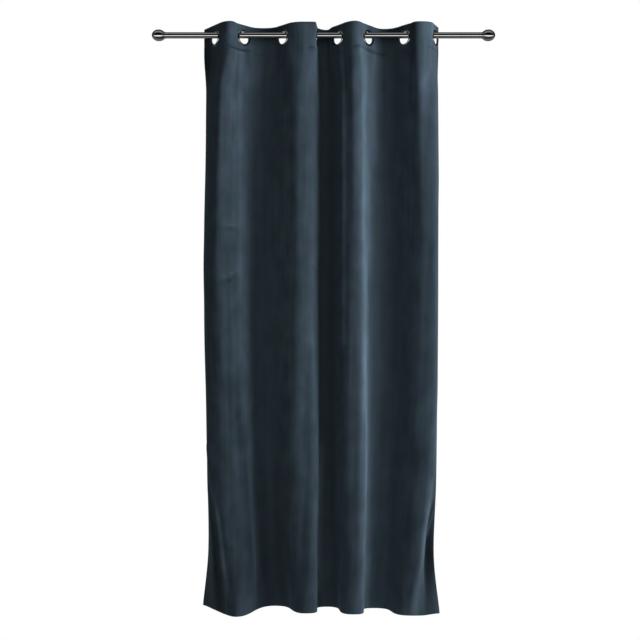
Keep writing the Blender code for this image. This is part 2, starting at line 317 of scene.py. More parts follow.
PAINTED_SHADING = (
    PaintedShading("left_return", ((0.000, 0.05), (0.006, 1.00), (0.010, 1.90)), 0.050, -0.85),
    PaintedShading("left_return_shade", ((0.085, 0.05), (0.085, 1.00), (0.075, 1.70)), 0.030, -0.30),
    PaintedShading("left_return_top", ((0.030, 0.05), (0.036, 0.30)), 0.036, -0.45),
    PaintedShading("left_hem_return", ((0.040, 1.88), (0.050, 2.15)), 0.030, -0.35),
    PaintedShading("left_hem_corner", ((0.050, 1.88), (0.078, 1.98), (0.098, 2.10), (0.112, 2.25),
                                (0.118, 2.44)), 0.034, -0.62),
    PaintedShading("left_hem_fold", ((0.074, 1.82), (0.118, 1.96), (0.140, 2.04), (0.152, 2.15),
                              (0.162, 2.27), (0.174, 2.40)), 0.008, 0.44),
    PaintedShading("lower_part", ((0.10, 2.40), (0.60, 2.44)), 0.480, -0.34),
    PaintedShading("fold_1_crease", ((0.150, -0.03), (0.150, 0.05)), 0.007, -0.42),
    PaintedShading("fold_1_crease_light", ((0.170, -0.02), (0.168, 0.16)), 0.009, 0.30),
    PaintedShading("right_of_fold_1_top", ((0.266, 0.08), (0.272, 0.18)), 0.018, -0.30),
    PaintedShading("fold_1_bright_edge", ((0.230, 0.12), (0.240, 0.50), (0.245, 0.92), (0.238, 1.33),
                                   (0.236, 1.62)), 0.008, 0.30),
    PaintedShading("fold_1_front", ((0.212, 0.55), (0.222, 1.20), (0.226, 1.70)), 0.046, -0.27),
    PaintedShading("fold_1_low_front", ((0.214, 1.45), (0.240, 1.75), (0.260, 2.05), (0.280, 2.30)),
            0.034, -0.42),
    PaintedShading("behind_fold_1", ((0.300, 0.28), (0.308, 0.50), (0.318, 0.85), (0.314, 1.35),
                              (0.316, 1.80), (0.336, 2.16), (0.354, 2.40)), 0.046, -0.62),
    PaintedShading("fold_2_crest", ((0.545, 0.00), (0.550, 0.08), (0.555, 0.20)), 0.030, 0.30),
    PaintedShading("behind_fold_2", ((0.690, 0.05), (0.700, 1.00), (0.710, 2.36)), 0.070, -0.40),
    PaintedShading("fold_3_left_ridge", ((0.818, 0.10), (0.821, 0.60), (0.836, 1.30)), 0.013, 1.10),
    PaintedShading("left_of_fold_3", ((0.826, 0.30), (0.834, 0.54), (0.838, 0.78)), 0.021, 0.75),
    PaintedShading("fold_3_groove", ((0.870, 0.30), (0.874, 0.70), (0.880, 1.10)), 0.014, -0.32),
    PaintedShading("fold_3_left_flank", ((0.885, 1.10), (0.898, 1.61), (0.908, 1.98), (0.918, 2.22),
                                  (0.928, 2.44)), 0.016, -0.30),
    PaintedShading("along_fold_3", ((0.930, 0.02), (0.934, 0.80), (0.944, 1.25), (0.952, 1.56)),
            0.023, 0.90),
    PaintedShading("low_ridge_of_fold_3", ((0.954, 1.98), (0.966, 2.22), (0.978, 2.31), (0.984, 2.44)),
            0.012, 0.45),
    PaintedShading("low_along_fold_3", ((0.954, 1.30), (0.964, 1.61), (0.986, 1.88), (1.004, 2.02),
                                 (1.026, 2.24), (1.040, 2.46)), 0.032, 1.15),
    PaintedShading("right_of_fold_3", ((0.974, 0.20), (0.976, 0.50), (0.978, 1.00)), 0.022, 0.40),
    PaintedShading("right_of_fold_3_top", ((1.018, -0.02), (1.014, 0.18), (1.008, 0.55)), 0.024, 0.60),
    PaintedShading("fold_2_front", ((0.560, 0.30), (0.566, 1.20)), 0.036, -0.18),
    PaintedShading("fold_2_low", ((0.581, 1.32), (0.584, 1.60), (0.586, 1.86), (0.597, 2.10),
                           (0.606, 2.31), (0.612, 2.46)), 0.020, -0.38),
    PaintedShading("behind_fold_2_low", ((0.688, 1.74), (0.700, 2.05), (0.724, 2.32)), 0.020, 1.05),
    PaintedShading("left_of_fold_4_top", ((1.206, -0.04), (1.210, 0.18)), 0.022, -0.40),
    PaintedShading("fold_4_crest", ((1.268, -0.05), (1.262, 0.10), (1.252, 0.20), (1.262, 0.36)),
            0.024, 0.55),
    PaintedShading("front_of_fold_4", ((1.282, 0.30), (1.290, 1.10), (1.296, 1.80)), 0.060, -0.58),
    PaintedShading("left_of_flare", ((1.255, 1.70), (1.262, 2.00), (1.255, 2.35)), 0.038, -0.35),
    PaintedShading("flare_ridge", ((1.330, 1.86), (1.324, 1.98), (1.312, 2.10), (1.306, 2.22),
                            (1.292, 2.42)), 0.010, 0.62),
    PaintedShading("flare_fold", ((1.392, 2.00), (1.372, 2.08), (1.322, 2.17)), 0.006, 0.60),
    PaintedShading("flare_shade", ((1.360, 1.80), (1.374, 1.98), (1.376, 2.10), (1.366, 2.25),
                            (1.352, 2.44)), 0.034, -0.82),
    PaintedShading("heading_valley_1", ((0.290, 0.02), (0.440, 0.02)), 0.045, -0.45),
    PaintedShading("heading_valley_2", ((0.660, 0.02), (0.760, 0.02)), 0.045, -0.35),
    PaintedShading("heading_valley_3", ((1.000, 0.02), (1.170, 0.02)), 0.045, -0.45),
    PaintedShading("right_top_corner", ((1.360, 0.06), (1.400, 0.20)), 0.030, -0.50),
    PaintedShading("right_top_light", ((1.272, -0.02), (1.314, 0.08)), 0.034, 0.62),
    PaintedShading("seam_shadow_1", ((0.163, 0.099), (0.188, 0.106), (0.230, 0.105), (0.272, 0.100)),
            0.005, -0.60),
    PaintedShading("seam_light_1", ((0.170, 0.112), (0.196, 0.119), (0.240, 0.116)), 0.005, 0.35),
    PaintedShading("seam_shadow_2", ((0.560, 0.104), (0.582, 0.106)), 0.005, -0.50),
    PaintedShading("seam_shadow_3", ((0.884, 0.101), (0.918, 0.098)), 0.005, -0.50),
    PaintedShading("seam_shadow_4", ((0.930, 0.097), (0.960, 0.104), (1.000, 0.104), (1.060, 0.106)),
            0.006, -0.60),
    PaintedShading("seam_light_4", ((0.945, 0.110), (0.985, 0.114)), 0.005, 0.35),
    PaintedShading("seam_shadow_5", ((1.272, 0.100), (1.300, 0.104), (1.350, 0.108)), 0.005, -0.40),
    PaintedShading("rib_mark", ((0.168, 0.818), (0.232, 0.822)), 0.007, 0.24),
    PaintedShading("rib_mark_shade", ((0.166, 0.838), (0.226, 0.842)), 0.007, -0.20),
    PaintedShading("waist_mark_shade", ((0.160, 1.060), (0.196, 1.046), (0.228, 1.028)), 0.007, -0.26),
    PaintedShading("waist_mark_1", ((0.158, 1.040), (0.194, 1.026), (0.231, 1.006)), 0.007, 0.30),
    PaintedShading("waist_mark_2", ((0.590, 1.002), (0.618, 0.994)), 0.007, -0.30),
    PaintedShading("waist_mark_3", ((0.898, 1.062), (0.926, 1.070)), 0.007, -0.25),
    PaintedShading("low_mark", ((0.134, 2.130), (0.178, 2.134), (0.225, 2.125)), 0.009, -0.16),
    PaintedShading("nick_on_fold_2", ((0.582, 0.204), (0.592, 0.216)), 0.006, -0.45),
)

WAVES = (
    Wave(0.0006, 0.31, 0.83, 0.4),
    Wave(0.0004, -0.17, 0.47, 2.1),
    Wave(0.0003, 0.11, -0.29, 4.0),
)


def linear(code):
    """An sRGB hex colour as linear red, green and blue."""
    shares = [int(code[i:i + 2], 16) / 255 for i in (0, 2, 4)]
    return tuple(s / 12.92 if s <= 0.04045 else ((s + 0.055) / 1.055) ** 2.4 for s in shares)


def length(label, value, words):
    return FloatProperty(name=label, default=value, description=words, min=0.0, precision=4,
                         subtype="DISTANCE", unit="LENGTH")


def amount(label, value, words, high=1.0):
    return FloatProperty(name=label, default=value, description=words, min=0.0, max=high)


def colour(label, code, words):
    return FloatVectorProperty(name=label, default=linear(code), description=words, size=3,
                               subtype="COLOR", min=0.0, max=1.0)


class DrapeCloth(PropertyGroup):
    """Sizes of the panel, its hems and its stitches."""

    width: length("Width", 1.40, "Width of the finished panel, laid flat")
    drop: length("Drop", 2.40, "From the top edge to the hem")
    heading: length("Heading", 0.102, "Depth of the turned heading that holds the eyelets")
    hem: length("Hem", 0.080, "Depth of the bottom hem")
    side_hem: length("Side hem", 0.025, "Width of the side hems")
    pile: length("Pile face", 0.0010, "From the middle of the cloth to the tips of the pile")
    ground: length("Ground", 0.0004, "From the middle of the cloth to its woven back")
    turned: length("Turned hem", 0.0010, "From the middle of the cloth to a hem's back")
    creases: amount("Creases", 1.0, "How strongly the creases show", high=3.0)
    stitch: length("Stitch", 0.0030, "Length of one stitch")
    pitch: length("Stitch pitch", 0.0042, "From one stitch to the next")
    thread: length("Thread", 0.0006, "Thickness of the sewing thread")


class DrapeMetal(PropertyGroup):
    """Sizes of the rod, its finials and the eyelets."""

    rod_length: length("Rod length", ROD_BOX[1].x - ROD_BOX[0].x, "From end to end of the tube")
    rod: length("Rod", ROD_BOX[1].z - ROD_BOX[0].z, "Outer diameter of the rod")
    wall: length("Rod wall", 0.0010, "Wall of the rod's tube")
    ball: length("Ball", BALL_BOX[1].z - BALL_BOX[0].z, "Diameter of a finial's ball")
    ball_length: length("Ball length", 0.057, "Length of a finial's ball along the rod")
    collar: length("Collar", 0.0275, "Diameter of a finial's collar")
    collar_length: length("Collar length", 0.004, "Length of a finial's collar")
    spigot: length("Spigot", 0.045, "Length of the spigot that plugs the rod")
    gap: length("Gap", 0.0003, "Gap between pieces that meet")
    bore: length("Eyelet bore", 0.049, "Inner diameter of an eyelet ring")
    flange: length("Eyelet flange", 0.067, "Outer diameter of an eyelet ring")
    crown: length("Eyelet crown", 0.0033, "Height of an eyelet's domed face")
    tube: length("Eyelet tube", 0.0012, "Wall of the tube that joins an eyelet's two faces")
    slot: length("Eyelet slot", 0.0013, "From the middle of the cloth to an eyelet's flange")


class DrapeFinish(PropertyGroup):
    """Colours of the cloth and the metals."""

    pile: colour("Pile", "2b373e", "Velvet's colour")
    pile_cool: colour("Pile, cooler", "2d3641", "Velvet's colour where it looks a little cooler")
    sheen: colour("Sheen", "90acc0", "Colour that the pile's tips catch")
    ground: colour("Woven back", "222d36", "Reverse side of the velvet")
    thread: colour("Thread", "18222a", "Sewing thread")
    rod: colour("Rod", "b8b8b9", "Polished plate of the rod and its balls")
    eyelet: colour("Eyelets", "a8a8aa", "Plate of the eyelet rings")
    floor: colour("Floor", "ebe9e5", "Painted studio floor")


class DrapeStudio(PropertyGroup):
    """Light and camera."""

    key: amount("Key", 378.0, "Power of the tall light on the right", high=2000.0)
    fill: amount("Fill", 112.0, "Power of the wide light in front", high=2000.0)
    side: amount("Side", 6.0, "Power of the weak light on the left", high=2000.0)
    rear: amount("Rear", 380.0, "Power of the tall light behind the drape", high=2000.0)
    room: amount("Room", 0.002, "Brightness of the dark studio round the drape", high=10.0)
    ceiling: amount("Ceiling", 0.52, "Brightness of the ceiling, as mirrored", high=10.0)
    apron: amount("Apron", 1.90, "Brightness of the floor in front, as mirrored", high=10.0)
    key_angle: FloatProperty(name="Key angle", default=math.radians(66), subtype="ANGLE",
                             description="How far the key light stands to the right")
    floor_gap: length("Floor gap", 0.050, "From the hem down to the floor")


# ---------------------------------------------------------------- the cloth's path

def direction(degrees):
    """Unit vector, seen from above, of cloth that runs this way."""
    angle = math.radians(degrees)
    return np.array([math.cos(angle), math.sin(angle)])


def bend(start, end):
    """Points of the smooth bend that leaves one station and arrives at the next."""
    first = np.array([start.x, start.y])
    last = np.array([end.x, end.y])
    leave = first + start.after * direction(start.way)
    arrive = last - end.before * direction(end.way)
    t = np.linspace(0.0, 1.0, BEND_SAMPLES)[:, None]
    s = 1.0 - t
    return s**3 * first + 3 * s * s * t * leave + 3 * s * t * t * arrive + t**3 * last


def path_run(points):
    """Distance along a path at each of its points."""
    steps = np.linalg.norm(np.diff(points, axis=0), axis=1)
    return np.concatenate([[0.0], np.cumsum(steps)])


def along(points, shares):
    """Points at the given shares of a path's length."""
    run = path_run(points)
    places = np.asarray(shares) * run[-1]
    return np.column_stack([np.interp(places, run, points[:, k]) for k in range(2)])


def pad_stations(eyelet):
    """The two ends of the flat piece of cloth that an eyelet ring clamps."""
    step = EYELET_PAD * direction(eyelet.way)
    return [
        Station(eyelet.name, eyelet.x + side * step[0], side * step[1], eyelet.way,
                PAD_REACH, PAD_REACH)
        for side in (-1, 1)
    ]


def heading_level(turns):
    """The cloth's path at the heading: flat at each eyelet, and turning in between."""
    crest = np.linspace(0.0, 1.0, CREST_STEPS + 1)
    flank = np.linspace(0.0, 1.0, FLANK_STEPS + 1)
    path = [[turns[0].x, turns[0].y]]
    for before, eyelet, after in zip(turns, EYELETS, turns[1:]):
        near, far = pad_stations(eyelet)
        path.extend(along(bend(before, near), crest)[1:])
        pad = np.array([[near.x, near.y], [far.x, far.y]])
        path.extend(along(pad, flank)[1:])
        path.extend(along(bend(far, after), crest)[1:])
    return np.array(path)


def lower_level(turns):
    """The cloth's path at a level below the heading, divided as the heading is."""
    side = (1.0 - FLANK_SHARE) / 2
    shares = np.concatenate([
        np.linspace(0.0, side, CREST_STEPS + 1)[1:],
        np.linspace(side, 1.0 - side, FLANK_STEPS + 1)[1:],
        np.linspace(1.0 - side, 1.0, CREST_STEPS + 1)[1:],
    ])
    path = [[turns[0].x, turns[0].y]]
    for before, after in zip(turns, turns[1:]):
        path.extend(along(bend(before, after), shares))
    return np.array(path)


def cut_to_width(level, turns, width):
    """A level's path, with its bends made as full as the panel's width needs."""
    least, most = 0.5, 2.0
    for _ in range(HALVINGS):
        fullness = (least + most) / 2
        path = level([
            turn._replace(before=fullness * turn.before, after=fullness * turn.after)
            for turn in turns
        ])
        if path_run(path)[-1] < width:
            least = fullness
        else:
            most = fullness
    return path


def drawn_levels(cloth):
    """Height and path of each level, from the top edge to the hem."""
    heading = cut_to_width(heading_level, HEADING_TURNS, cloth.width)
    lower = [
        (SHOULDER, SHOULDER_TURNS),
        (WAIST, WAIST_TURNS),
        (KNEE, KNEE_TURNS),
        (CALF, CALF_TURNS),
        (TOP_EDGE - cloth.drop, HEM_TURNS),
    ]
    return [(TOP_EDGE, heading), (TOP_EDGE - cloth.heading, heading)] + [
        (height, cut_to_width(lower_level, turns, cloth.width)) for height, turns in lower
    ]


def blended_path(z, heights, paths, slopes):
    """The path at one height, blended smoothly between the two drawn levels round it."""
    i = min(int(np.searchsorted(-heights, -z, side="right")), len(heights) - 1)
    span = heights[i] - heights[i - 1]
    t = (z - heights[i - 1]) / span
    rise = t * t * (3 - 2 * t)
    return (
        (1 - rise) * paths[i - 1]
        + rise * paths[i]
        + span * t * (1 - t) ** 2 * slopes[i - 1]
        - span * t * t * (1 - t) * slopes[i]
    )


# ---------------------------------------------------------------- the cloth's surface

def spread(start, end, spacing):
    """Even places from start to end, about one spacing apart."""
    return np.linspace(start, end, max(2, math.ceil((end - start) / spacing) + 1))


def lines_between(stops, spacings):
    """Places of the grid's lines: even between stops, with a close set at each inner stop."""
    places = []
    for start, end, spacing in zip(stops, stops[1:], spacings):
        places.extend(spread(start, end, spacing))
    reach = max(SEAM_OFFSETS)
    for seam in stops[1:-1]:
        places = [place for place in places if abs(place - seam) > 1.5 * reach]
        places.extend(seam + offset for offset in SEAM_OFFSETS)
    return np.unique(np.round(places, 6))


def cloth_columns(cloth):
    """Distances of the grid's columns from the left edge."""
    stops = (0.0, cloth.side_hem, cloth.width - cloth.side_hem, cloth.width)
    return lines_between(stops, (COLUMN_SPACING,) * 3)


def cloth_rows(cloth):
    """Distances of the grid's rows from the top edge."""
    stops = (0.0, cloth.heading, cloth.drop - cloth.hem, cloth.drop)
    return lines_between(stops, (HEADING_SPACING, ROW_SPACING, ROW_SPACING))


def stroke_strength(stroke, u, v):
    """1 along a crease or a stroke of painted light or shade, falling away softly to its sides
    and ends.
    """
    stops = np.array(stroke.route)
    run = path_run(stops)
    strength = np.zeros_like(u)
    for i in range(len(stops) - 1):
        start, step = stops[i], stops[i + 1] - stops[i]
        share = ((u - start[0]) * step[0] + (v - start[1]) * step[1]) / (step @ step)
        share = np.clip(share, 0.0, 1.0)
        off = np.hypot(u - start[0] - share * step[0], v - start[1] - share * step[1])
        place = (run[i] + share * (run[i + 1] - run[i])) / run[-1]
        fade = np.sin(np.pi * (STROKE_END + (1 - 2 * STROKE_END) * place)) ** STROKE_FADE
        strength = np.maximum(strength, fade * np.exp(-((off / stroke.reach) ** 2)))
    return strength


def seam_pucker(cloth, u, v):
    """The groove along the heading's seam, and the small puckers that the thread draws up."""
    below = v - cloth.heading
    groove = -GROOVE_DEPTH * np.exp(-((below / GROOVE_REACH) ** 2))
    turn = u * 2 * np.pi
    drift = PUCKER_DRIFT * np.sin(turn / PUCKER_DRIFT_LENGTH)
    long = LONG_PUCKER_SHARE * np.sin(turn / LONG_PUCKER_LENGTH + LONG_PUCKER_PHASE)
    puckers = np.sin(turn / PUCKER_LENGTH + drift) + long
    reach = np.where(below > 0, PUCKER_REACH_BELOW, PUCKER_REACH_ABOVE)
    return groove + PUCKER_HEIGHT * puckers * np.exp(-((below / reach) ** 2))


def cloth_relief(cloth, u, v):
    """Height of the cloth's own unevenness over its smooth folds."""
    relief = seam_pucker(cloth, u, v)
    for wave in WAVES:
        turn = 2 * np.pi * (u / wave.across + v / wave.down) + wave.phase
        relief += wave.height * np.sin(turn + WAVE_DRIFT * np.sin(WAVE_DRIFT_RATE * turn))
    for crease in CREASES:
        relief += cloth.creases * crease.height * stroke_strength(crease, u, v)
    return relief


def painted_light_and_shade(u, v):
    """How much light or shade is painted into the pile's colour at each place: above zero for
    painted light, below zero for painted shade.
    """
    tone = np.zeros_like(u)
    for stroke in PAINTED_SHADING:
        tone += stroke.tone * stroke_strength(stroke, u, v)
    return np.maximum(tone, DARKEST_PAINTED_SHADE)


def across_and_down(points):
    """Unit vectors across and down the cloth at each place of a grid, and the normal."""
    across = np.gradient(points, axis=1)
    down = np.gradient(points, axis=0)
    normal = np.cross(down, across)
    return [way / np.linalg.norm(way, axis=2, keepdims=True) for way in (across, down, normal)]


def eyelet_centres():
    """Centre of each eyelet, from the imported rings."""
    return [sum(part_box(eyelet.name), Vector()) / 2 for eyelet in EYELETS]


def away_from_eyelets(points, metal):
    """0 on the flat cloth that the rings clamp, rising to 1 outside them."""
    clear = np.ones(points.shape[:2])
    for centre in eyelet_centres():
        off = np.linalg.norm(points - np.array(centre), axis=2) - metal.flange / 2
        clear = np.minimum(clear, np.clip(off / RELIEF_FADE - RELIEF_DELAY, 0.0, 1.0))
    return clear


class ClothGrid:
    """The sheet's front and back at every crossing of its columns and rows."""

    def __init__(self, cloth, metal):
        levels = drawn_levels(cloth)
        heights = np.array([height for height, path in levels])
        paths = np.array([path for height, path in levels])
        slopes = np.zeros_like(paths)
        for i in range(2, len(heights)):
            low = min(i + 1, len(heights) - 1)
            slopes[i] = (paths[low] - paths[i - 1]) / (heights[low] - heights[i - 1])
        self.columns = cloth_columns(cloth)
        self.rows = cloth_rows(cloth)
        middle = np.zeros((len(self.rows), len(self.columns), 3))
        for row, v in enumerate(self.rows):
            z = TOP_EDGE - v
            path = blended_path(z, heights, paths, slopes)
            middle[row, :, :2] = along(path, self.columns / cloth.width)
            middle[row, :, 2] = z
        self.u, self.v = np.meshgrid(self.columns, self.rows)
        normal = across_and_down(middle)[2]
        relief = cloth_relief(cloth, self.u, self.v) * away_from_eyelets(middle, metal)
        middle += normal * relief[:, :, None]
        self.across, self.down, normal = across_and_down(middle)
        self.middle = middle
        self.turned = self.in_a_hem(cloth, self.u, self.v)
        depth = np.where(self.turned, cloth.turned, cloth.ground)[:, :, None]
        self.front = middle + normal * cloth.pile
        self.back = middle - normal * depth
        self.normal = normal

    @staticmethod
    def in_a_hem(cloth, u, v):
        """Whether the cloth is doubled there by the heading, the hem or a side hem."""
        small = 1e-5
        return (
            (v < cloth.heading + small)
            | (v > cloth.drop - cloth.hem - small)
            | (u < cloth.side_hem + small)
            | (u > cloth.width - cloth.side_hem - small)
        )

    def at(self, field, u, v):
        """A field's value at any place on the cloth."""
        row = np.interp(v, self.rows, np.arange(len(self.rows)))
        column = np.interp(u, self.columns, np.arange(len(self.columns)))
        r = min(int(row), len(self.rows) - 2)
        c = min(int(column), len(self.columns) - 2)
        s, t = row - r, column - c
        near = (1 - t) * field[r, c] + t * field[r, c + 1]
        far = (1 - t) * field[r + 1, c] + t * field[r + 1, c + 1]
        return (1 - s) * near + s * far


def punch_holes(grid, metal):
    """Open the grid at each eyelet: cells left out, with their edge drawn onto the hole."""
    radius = metal.bore / 2 + metal.tube + metal.gap
    middle = grid.middle
    cells = (middle[:-1, :-1] + middle[1:, :-1] + middle[:-1, 1:] + middle[1:, 1:]) / 4
    kept = np.ones(cells.shape[:2], bool)
    for centre in eyelet_centres():
        centre = np.array(centre)
        inside = np.linalg.norm(cells - centre, axis=2) < radius
        kept &= ~inside
        touched = np.zeros(middle.shape[:2], bool)
        for r, c in np.argwhere(inside):
            touched[r:r + 2, c:c + 2] = True
        for r, c in np.argwhere(touched):
            around = kept[max(r - 1, 0):r + 1, max(c - 1, 0):c + 1]
            if not around.any():
                continue
            normal = grid.normal[r, c]
            out = middle[r, c] - centre
            out -= (out @ normal) * normal
            shift = out * (radius / np.linalg.norm(out) - 1)
            grid.front[r, c] += shift
            grid.back[r, c] += shift
            grid.u[r, c] += shift @ grid.across[r, c]
            grid.v[r, c] += shift @ grid.down[r, c]
    return kept


def sheet_mesh(name, grid, kept):
    """The closed sheet: front, back, a rounded edge all round and a wall in each hole."""
    rows, columns = grid.front.shape[:2]
    size = rows * columns
    index = np.arange(size).reshape(rows, columns)
    cells = np.stack([index[:-1, :-1], index[1:, :-1], index[1:, 1:], index[:-1, 1:]], axis=2)
    front = cells[kept]
    back = front[:, ::-1] + size
    ahead = {(int(a), int(b)) for a, b in
             np.concatenate([front[:, [i, (i + 1) % 4]] for i in range(4)])}
    border = sorted(edge for edge in ahead if edge[::-1] not in ahead)
    rim = {}
    rim_places = []
    outward = {}
    for c in range(columns):
        outward[int(index[0, c])] = -grid.down[0, c]
        outward[int(index[-1, c])] = grid.down[-1, c]
    for r in range(rows):
        outward[int(index[r, 0])] = -grid.across[r, 0]
        outward[int(index[r, -1])] = grid.across[r, -1]
    flat_front = grid.front.reshape(-1, 3)
    flat_back = grid.back.reshape(-1, 3)
    walls = []
    for a, b in border:
        if a in outward and b in outward:
            for corner in (a, b):
                if corner not in rim:
                    rim[corner] = 2 * size + len(rim)
                    half = np.linalg.norm(flat_front[corner] - flat_back[corner]) / 2
                    middle = (flat_front[corner] + flat_back[corner]) / 2
                    rim_places.append((corner, middle + EDGE_ROUND * half * outward[corner]))
            walls.append([b, a, rim[a], rim[b]])
            walls.append([rim[b], rim[a], a + size, b + size])
        else:
            walls.append([b, a, a + size, b + size])
    places = np.concatenate([flat_front, flat_back, [place for _, place in rim_places]])
    owners = np.concatenate([np.arange(size), np.arange(size),
                             [corner for corner, _ in rim_places]]).astype(int)
    faces = np.concatenate([front, back, np.array(walls)])
    used, faces = np.unique(faces, return_inverse=True)
    faces = faces.reshape(-1, 4)
    mesh = bpy.data.meshes.new(name)
    mesh.from_pydata(places[used].tolist(), [], faces.tolist())
    flat_u = grid.u.reshape(-1)[owners][used]
    flat_v = grid.v.reshape(-1)[owners][used]
    chart = mesh.uv_layers.new(name="cloth")
    corners = np.column_stack([flat_u, -flat_v])[faces.reshape(-1)]
    chart.data.foreach_set("uv", corners.astype(np.float32).ravel())
    # The light and shade painted into the pile's colour, kept at each vertex.
    brushed = mesh.attributes.new("brushed", "FLOAT", "POINT")
    brushed.data.foreach_set("value", painted_light_and_shade(flat_u, flat_v).astype(np.float32))
    turned = grid.turned[:-1, :-1] & grid.turned[1:, :-1]
    turned &= grid.turned[:-1, 1:] & grid.turned[1:, 1:]
    slots = np.zeros(len(faces), np.int32)
    slots[len(front):2 * len(front)] = np.where(turned[kept], 0, 1)
    mesh.polygons.foreach_set("material_index", slots)
    mesh.shade_smooth()
    mesh.validate()
    return mesh


# ---------------------------------------------------------------- modelling helpers

def deselect_all():
    for item in list(bpy.context.selected_objects):
        item.select_set(False)


def start_piece(add, **settings):
    """Add a primitive with nothing else selected, and open it in edit mode."""
    deselect_all()
    add(**settings)
    bpy.ops.object.mode_set(mode="EDIT")
    return bpy.context.active_object


def pick(item, kind, wanted):
    """Select only the vertices, edges or faces whose place or normal is wanted."""
    bpy.ops.mesh.select_mode(type=kind)
    bpy.ops.mesh.select_all(action="DESELECT")
    shape = bmesh.from_edit_mesh(item.data)
    parts = {"VERT": shape.verts, "EDGE": shape.edges, "FACE": shape.faces}[kind]
    for part in parts:
        if wanted(part):
            part.select_set(True)
    shape.select_flush_mode()
    bmesh.update_edit_mesh(item.data)


def close_piece(item, name, smooth_angle=35):
    """Leave edit mode, with the piece's place in its mesh and its soft edges smooth."""
    bpy.ops.object.mode_set(mode="OBJECT")
    item.name = name
    item.data.name = name
    item.data.transform(item.matrix_world)
    item.matrix_world = Matrix.Identity(4)
    deselect_all()
    item.select_set(True)
    bpy.context.view_layer.objects.active = item
    bpy.ops.object.shade_smooth_by_angle(angle=math.radians(smooth_angle))
    return item


def new_piece(name, mesh):
    item = bpy.data.objects.new(name, mesh)
    bpy.context.scene.collection.objects.link(item)
    return item


def vertex_places(item):
    return np.array([vertex.co for vertex in item.data.vertices])


def copy_piece(item, name, place):
    """A copy with its own mesh, with its place in that mesh."""
    mesh = item.data.copy()
    mesh.name = name
    mesh.transform(place)
    return new_piece(name, mesh)


# ---------------------------------------------------------------- materials

def add_node(tree, kind, sockets=None, **settings):
    """Add a node with its settings. A socket takes a value or the output that feeds it. A Mix
    node's sockets go by number: 0 is the factor, 2 and 3 two numbers, 6 and 7 two colours. Its
    outputs are 0 for the number and 2 for the colour."""
    node = tree.nodes.new(kind)
    for name, value in settings.items():
        setattr(node, name, value)
    for key, value in (sockets or {}).items():
        if isinstance(value, bpy.types.NodeSocket):
            tree.links.new(value, node.inputs[key])
        else:
            node.inputs[key].default_value = value
    return node


def new_material(name):
    made = bpy.data.materials.new(name)
    made.use_nodes = True
    made.node_tree.nodes.clear()
    return made, made.node_tree


def finish_material(tree, sockets):
    """Add the surface's shader with its sockets, and lead it to the material's output."""
    shader = add_node(tree, "ShaderNodeBsdfPrincipled", sockets)
    add_node(tree, "ShaderNodeOutputMaterial", {"Surface": shader.outputs["BSDF"]})


def cloth_noise(tree, chart, across, down, detail=3.0, roughness=0.5):
    """Noise whose patches are this long across and down the cloth, in metres."""
    mapping = add_node(tree, "ShaderNodeMapping", {
        "Vector": chart.outputs["UV"], "Scale": (1 / across, 1 / down, 1.0)})
    return add_node(tree, "ShaderNodeTexNoise", {
        "Vector": mapping.outputs["Vector"], "Scale": 1.0, "Detail": detail,
        "Roughness": roughness})


def rgba(tone, brightness=1.0):
    """A colour for a node's socket, made darker or brighter."""
    return (*(brightness * part for part in tone), 1.0)


